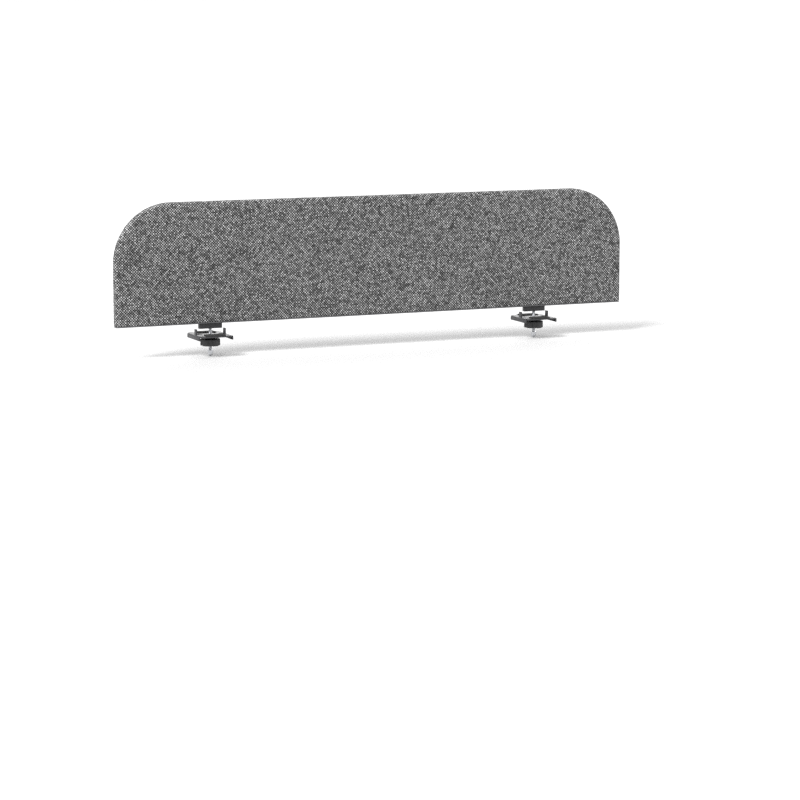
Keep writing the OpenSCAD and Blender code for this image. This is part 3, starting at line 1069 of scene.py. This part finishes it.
def jaw(clamp):
    """A pressed steel bridge: bent-down sides, cut windows and two bent-up guide tabs."""
    node = "jaw_" + clamp
    low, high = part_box(node)
    half_length, half_width = (high.x - low.x) / 2, high.y
    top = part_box("jaw_pad_front_" + clamp)[0].z
    bend_x, bend_z = half_length - JAW_BEND, top - JAW_BEND
    outer = ([(half_length, low.z)] + arc(bend_x, bend_z, JAW_BEND, 0, 90, 6)
             + arc(-bend_x, bend_z, JAW_BEND, 90, 180, 6) + [(-half_length, low.z)])
    channel = beam(strip(outer, JAW_STEEL), half_width - JAW_LIP)
    body = make_piece("pressed_" + node, *channel, JAW_COAT)
    plate = rounded_rect(2 * bend_x + 1 * MM, 2 * half_width, JAW_LIP, 10)
    combine(body, [make_piece("plate", *prism(plate, top - JAW_STEEL, top), JAW_COAT)],
            "UNION")

    tab_outer = TAB_X - JAW_STEEL / 2
    tab_line = [(tab_outer, high.z)]
    tab_line += arc(tab_outer + JAW_BEND, top - JAW_STEEL + JAW_BEND, JAW_BEND, 180, 270, 6)
    tab_line += [(tab_outer + JAW_BEND + 0.5 * MM, top - JAW_STEEL)]
    cut = (top - 2 * JAW_STEEL, top + JAW_STEEL)
    windows, tabs = [], []
    for side in (-1, 1):
        window = rectangle(side * (tab_outer - WINDOW), side * (tab_outer + JAW_BEND),
                           TAB_HALF_WIDTH)
        windows.append(cutter(prism(window[::side], *cut)))
        section = [(side * x, z) for x, z in strip(tab_line, JAW_STEEL)]
        tabs.append(make_piece("tab", *beam(section, TAB_HALF_WIDTH - TAB_GAP), JAW_COAT))
    combine(body, windows, "DIFFERENCE")
    combine(body, tabs, "UNION")
    drill(body, [(0, JAW_HOLE, *cut)])
    soften(body, 0.45 * MM, 2, 40)
    body.data.transform(at_clamp(clamp))
    settle(body, "jaw_" + clamp, "jaw_steel", node)


PAD_CORNER = 4 * MM
RIB_COUNT = 7
RIB_HEIGHT = 1.0 * MM
RIB_MARGIN = 2 * MM
RIB_INSET = 1.6 * MM
RIB_HALF_WIDTH = 0.36  # in pitches
# A rib's section, in its own half width and height, and how it shrinks towards its ends.
RIB_SECTION = ((-1, -0.2), (-0.98, 0.45), (-0.8, 0.85), (-0.5, 1.0),
               (0.5, 1.0), (0.8, 0.85), (0.98, 0.45), (1, -0.2))
RIB_ENDS = ((0.0, 0.55), (0.3 * MM, 0.88), (0.9 * MM, 1.0))


def pad_rib(y, pitch, half_length, base_top):
    """One rounded rib along X; its foot is sunk in the pad."""
    stations = [(inset - half_length, size) for inset, size in RIB_ENDS]
    stations += [(half_length - inset, size) for inset, size in RIB_ENDS[::-1]]
    rings = []
    for x, size in stations:
        rings.append([Vector((x, y + w * RIB_HALF_WIDTH * pitch * size,
                              base_top + h * RIB_HEIGHT * (size if h > 0 else 1)))
                      for w, h in RIB_SECTION])
    return skin(rings)


def jaw_pad(row_name, clamp):
    """A rubber pad: a thin base with rounded ribs across it."""
    node = f"jaw_pad_{row_name}_{clamp}"
    low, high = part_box(node)
    length, width = high.x - low.x, high.y - low.y
    base_top = high.z - RIB_HEIGHT
    levels = [(0.3 * MM, low.z), (0.0, low.z + 0.3 * MM), (0.0, base_top - 0.4 * MM),
              (0.12 * MM, base_top - 0.12 * MM), (0.4 * MM, base_top)]
    rings = []
    for inset, z in levels:
        section = rounded_rect(length - 2 * inset, width - 2 * inset, PAD_CORNER - inset)
        rings.append([Vector((x, y, z)) for x, y in section])
    parts = [skin(rings)]
    pitch = (width - 2 * RIB_MARGIN) / RIB_COUNT
    for k in range(RIB_COUNT):
        y = -width / 2 + RIB_MARGIN + pitch * (k + 0.5)
        into_corner = max(0.0, abs(y) - (width / 2 - PAD_CORNER)) / PAD_CORNER
        corner_cut = PAD_CORNER * (1 - math.sqrt(max(0.0, 1 - into_corner ** 2)))
        parts.append(pad_rib(y, pitch, length / 2 - RIB_INSET - corner_cut, base_top))
    middle = Matrix.Translation(((low.x + high.x) / 2, (low.y + high.y) / 2, 0))
    pad = join("ribbed_" + node, [moved(part, middle) for part in parts], PAD_RUBBER, 40)
    settle(pad, "jaw_" + clamp, "pad_rubber", node)


WASHER_BORE = 4.2 * MM
WASHER_EASE = 0.2 * MM


def washer(clamp):
    """A stamped washer: its lower rim is rounded more than its upper one."""
    node = "jaw_washer_" + clamp
    low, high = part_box(node)
    outer, inner, ease = (high.x - low.x) / 2, WASHER_BORE, WASHER_EASE
    profile = [(inner, low.z + ease), (inner + ease, low.z), (outer - 1.6 * ease, low.z),
               (outer, low.z + 1.4 * ease), (outer, high.z - ease), (outer - ease, high.z),
               (inner + ease, high.z), (inner, high.z - ease)]
    part = moved(turned(profile, 72, closed=True), at_clamp(clamp))
    piece = make_piece("turned_" + node, *part, ZINC, 25)
    settle(piece, "jaw_" + clamp, "zinc_steel", node)


KNOB_LOBES = 5
KNOB_SIDES = 240
SCALLOP_DISTANCE = 1.16  # from the knob's axis, and the radius below, in knob radii
SCALLOP_RADIUS = 0.36
SCALLOP_BLEND = 1.6 * MM
STAR_FADE = 0.5  # the radius, in knob radii, that the star blends into on its flat faces
HUB_RADIUS = 12 * MM
HUB_HEIGHT = 6 * MM
HUB_FILLET = 2.5 * MM
UPPER_ROUND = 2.8 * MM
LOWER_ROUND = 2.3 * MM
BUSH_BOTTOM = 16 * MM
KNOB_BORE = 4.5 * MM
BUSH_SOCKET = 6.0 * MM
# Half profiles in millimetres: the hub from the knob's top, and the dish with its boss from
# the knob's underside.
HUB_PROFILE = ((6.0, -0.3), (6.3, 0.0), (11.2, 0.0), (11.8, -0.2), (12.0, -0.8))
DISH_PROFILE = ((12.2, 0.25), (11.6, 0.6), (11.2, 2.6), (10.6, 3.0), (7.6, 3.0), (7.2, 2.7),
                (7.0, 0.5), (6.6, 0.1), (5.1, 0.1), (4.5, 0.7))


def star_radius(angle, radius):
    """The knob's outline: a circle with a soft-edged scallop between each pair of lobes."""
    distance, scallop = SCALLOP_DISTANCE * radius, SCALLOP_RADIUS * radius
    step = 2 * math.pi / KNOB_LOBES
    offset = (angle % step) - step / 2
    across = distance * math.sin(offset)
    reach = radius
    if abs(across) < scallop:
        reach = distance * math.cos(offset) - math.sqrt(scallop ** 2 - across ** 2)
    share = max(0.0, SCALLOP_BLEND - abs(reach - radius)) / SCALLOP_BLEND
    return min(reach, radius) - share * share * SCALLOP_BLEND / 4


def knob(clamp):
    """A moulded star knob with rounded lobes, a hub against the washer and a dished underside."""
    node = "knob_" + clamp
    low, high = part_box(node)
    radius = (high.y - low.y) / 2
    body_top = high.z - HUB_HEIGHT
    bush_bottom = high.z - BUSH_BOTTOM

    def circles(profile):
        return [circle(r, z, KNOB_SIDES) for r, z in profile]

    def star_ring(inset, z, share=1.0):
        """A ring inside the star's outline; share blends it into a circle."""
        fade = (1 - share) * radius * STAR_FADE
        return [polar(share * (star_radius(a, radius) - inset) + fade, a, z)
                for a in circle_angles(KNOB_SIDES)]

    fillet = arc(HUB_RADIUS + HUB_FILLET, body_top + HUB_FILLET, HUB_FILLET, 180, 270, 6)
    rings = circles([(BUSH_SOCKET, bush_bottom)] + in_mm(HUB_PROFILE, high.z) + fillet)
    rings += [star_ring(6.5 * MM, body_top, 0.6), star_ring(4 * MM, body_top - 0.15 * MM, 0.95)]
    rings += [star_ring(UPPER_ROUND - x, z)
              for x, z in arc(0, body_top - 3 * MM, UPPER_ROUND, 82, 0, 8)]
    rings += [star_ring(0.25 * MM, (body_top + low.z) / 2 - 1 * MM)]
    rings += [star_ring(LOWER_ROUND - x, z)
              for x, z in arc(0, low.z + LOWER_ROUND, LOWER_ROUND, 0, -82, 8)]
    rings += [star_ring(4.5 * MM, low.z + 0.05 * MM, 0.9)]
    rings += circles(in_mm(DISH_PROFILE, low.z) + [(KNOB_BORE, bush_bottom)])
    part = moved(skin(rings, closed_path=True), at_clamp(clamp))
    piece = make_piece("moulded_" + node, *part, KNOB_PLASTIC, 38)
    settle(piece, "knob_" + clamp, "knob_plastic", node)


BUSH_BORE = 4.05 * MM
BUSH_CHAMFER = 0.5 * MM
BUSH_SIDES = 96
KNURL = 0.15 * MM


def knob_bush(clamp):
    """A turned brass bush with chamfered mouths and a knurled wall."""
    node = "knob_insert_" + clamp
    low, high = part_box(node)
    outer = (high.x - low.x) / 2
    mouth, shoulder = BUSH_BORE + BUSH_CHAMFER, outer - BUSH_CHAMFER
    levels = [(BUSH_BORE, low.z + BUSH_CHAMFER, 0), (mouth, low.z, 0), (shoulder, low.z, 0),
              (outer, low.z + BUSH_CHAMFER, KNURL), (outer, high.z - 1.5 * MM, KNURL),
              (outer, high.z - 1.2 * MM, 0), (outer, high.z - 0.2 * MM, 0),
              (outer - 0.2 * MM, high.z, 0), (mouth, high.z, 0),
              (BUSH_BORE, high.z - BUSH_CHAMFER, 0)]
    rings = [[polar(r - knurl * (j % 2), a, z) for j, a in enumerate(circle_angles(BUSH_SIDES))]
             for r, z, knurl in levels]
    part = moved(skin(rings, closed_path=True), at_clamp(clamp))
    piece = make_piece("turned_" + node, *part, BRASS, 25)
    settle(piece, "knob_" + clamp, "brass", node)


# -------- the whole panel

covers()
foam_edge()
felt_layer("front", -1)
felt_layer("rear", 1)
seam()
screw_group("rail_screws")
screw_group("key_screws")
for clamp in CLAMPS:
    stud(clamp)
end_nuts()
rail()
for clamp in CLAMPS:
    gap_key(clamp)
    jaw(clamp)
    jaw_pad("front", clamp)
    jaw_pad("rear", clamp)
    washer(clamp)
    knob(clamp)
    knob_bush(clamp)

# The CAD nodes that stay.
for kept_node, material in (("core_board", FIBREBOARD), ("rail_gasket", CELL_RUBBER),
                            ("stud_sleeves", SLEEVE_PLATE)):
    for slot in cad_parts[kept_node].material_slots:
        slot.link = "OBJECT"
        slot.material = material

# -------- floor, background and lights

FLOOR_SIZE = 60.0
FLOOR_COLOUR = (0.56, 0.56, 0.56)
# Each light's name, the direction it comes from, its strength and its spread in degrees.
LIGHTS = (("key_light", (-0.65, -0.35, 0.67), 4.4, 24),
          ("fill_light", (0.45, 0.7, 0.55), 1.6, 50))

floor_mesh = bpy.data.meshes.new("floor")
floor_outline = rectangle(-FLOOR_SIZE, FLOOR_SIZE, FLOOR_SIZE)
floor_mesh.from_pydata([(x, y, cad_low.z) for x, y in floor_outline], [], [(0, 1, 2, 3)])
floor_mesh.materials.append(Shader("studio_floor").finish(
    Base_Color=FLOOR_COLOUR, Roughness=0.9, Specular_IOR_Level=0.1))
new_object("floor", floor_mesh)

world = bpy.data.worlds.new("studio")
world.use_nodes = True
background = world.node_tree.nodes["Background"]
background.inputs["Color"].default_value = (1, 1, 1, 1)
background.inputs["Strength"].default_value = 1.0
bpy.context.scene.world = world

for light_name, direction, strength, spread_angle in LIGHTS:
    light = new_object(light_name, bpy.data.lights.new(light_name, "SUN"))
    light.data.energy = strength
    light.data.angle = math.radians(spread_angle)
    light.rotation_euler = Vector(direction).to_track_quat("Z", "Y").to_euler()

bpy.context.scene.view_settings.view_transform = "Standard"
# A denoiser takes the marl of the cloth for noise and smears it.
bpy.context.scene.cycles.use_denoising = False
